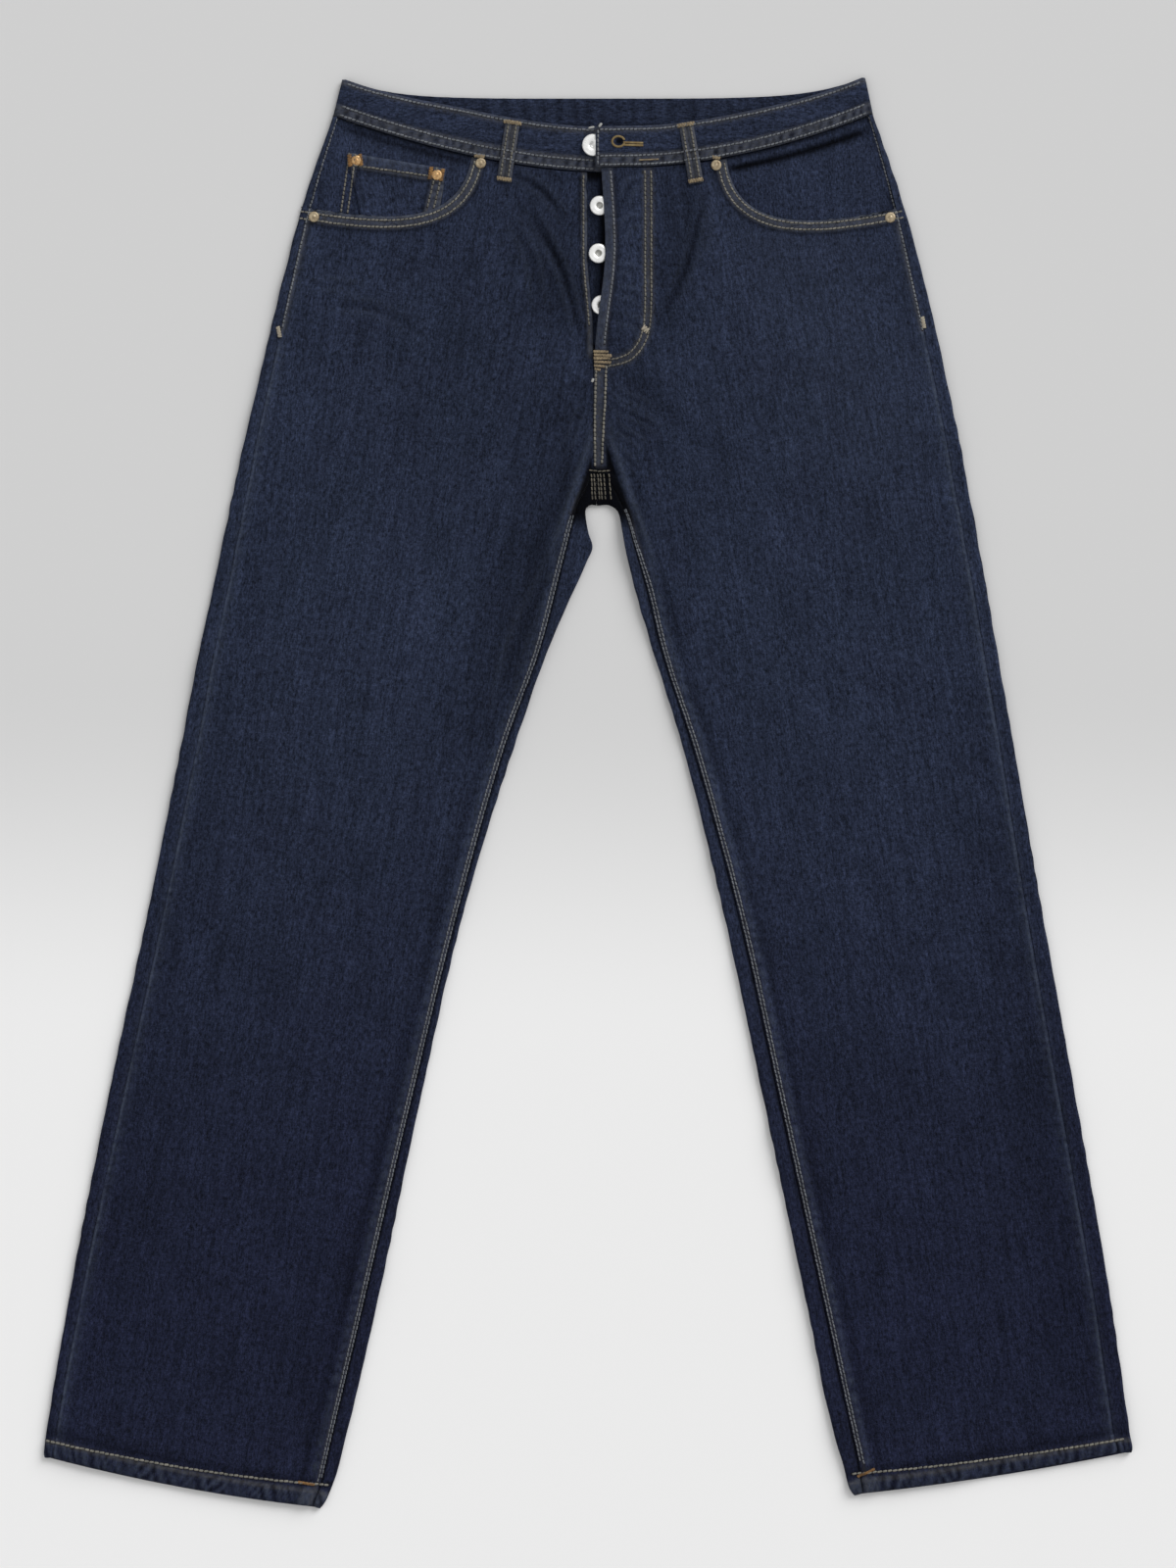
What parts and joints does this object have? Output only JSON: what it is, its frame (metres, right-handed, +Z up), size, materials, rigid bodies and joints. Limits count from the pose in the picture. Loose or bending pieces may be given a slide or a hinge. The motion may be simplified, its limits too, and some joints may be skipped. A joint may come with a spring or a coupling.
{
  "type": "jeans",
  "caption": "Loose straight five-pocket denim jeans laid flat with the front up, button fly, turned-up stitched hems and two front belt loops.",
  "frame": {"origin": "on the surface the jeans lie on, below the middle of the garment's box", "axes": "+X to the wearer's left, +Y from the hems to the waist, +Z up out of the surface through the front of the jeans"},
  "size_m": [0.8338, 1.094, 0.0122],
  "materials": {
    "denim": "dark indigo right-hand twill, matt, with faint vertical grain",
    "denim_facing": "the same denim, in the pocket mouths and behind the fly",
    "button_metal": "bright silver shank button with a rolled rim and no marking",
    "rivet_metal": "copper rivet, slightly dulled"
  },
  "bodies": {
    "root": {"back_panel_right": "denim", "back_panel_left": "denim", "front_panel_right": "denim", "front_panel_left": "denim", "waistband": "denim", "pocket_facing_right": "denim_facing", "pocket_facing_left": "denim_facing", "coin_pocket": "denim", "button_stand": "denim_facing", "belt_loop_right": "denim", "belt_loop_left": "denim", "waist_button": "button_metal", "fly_button_1": "button_metal", "fly_button_2": "button_metal", "fly_button_3": "button_metal", "rivet_coin_outer": "rivet_metal", "rivet_coin_inner": "rivet_metal", "rivet_mouth_right_outer": "rivet_metal", "rivet_mouth_right_inner": "rivet_metal", "rivet_mouth_left_outer": "rivet_metal", "rivet_mouth_left_inner": "rivet_metal"}
  },
  "joints": []
}
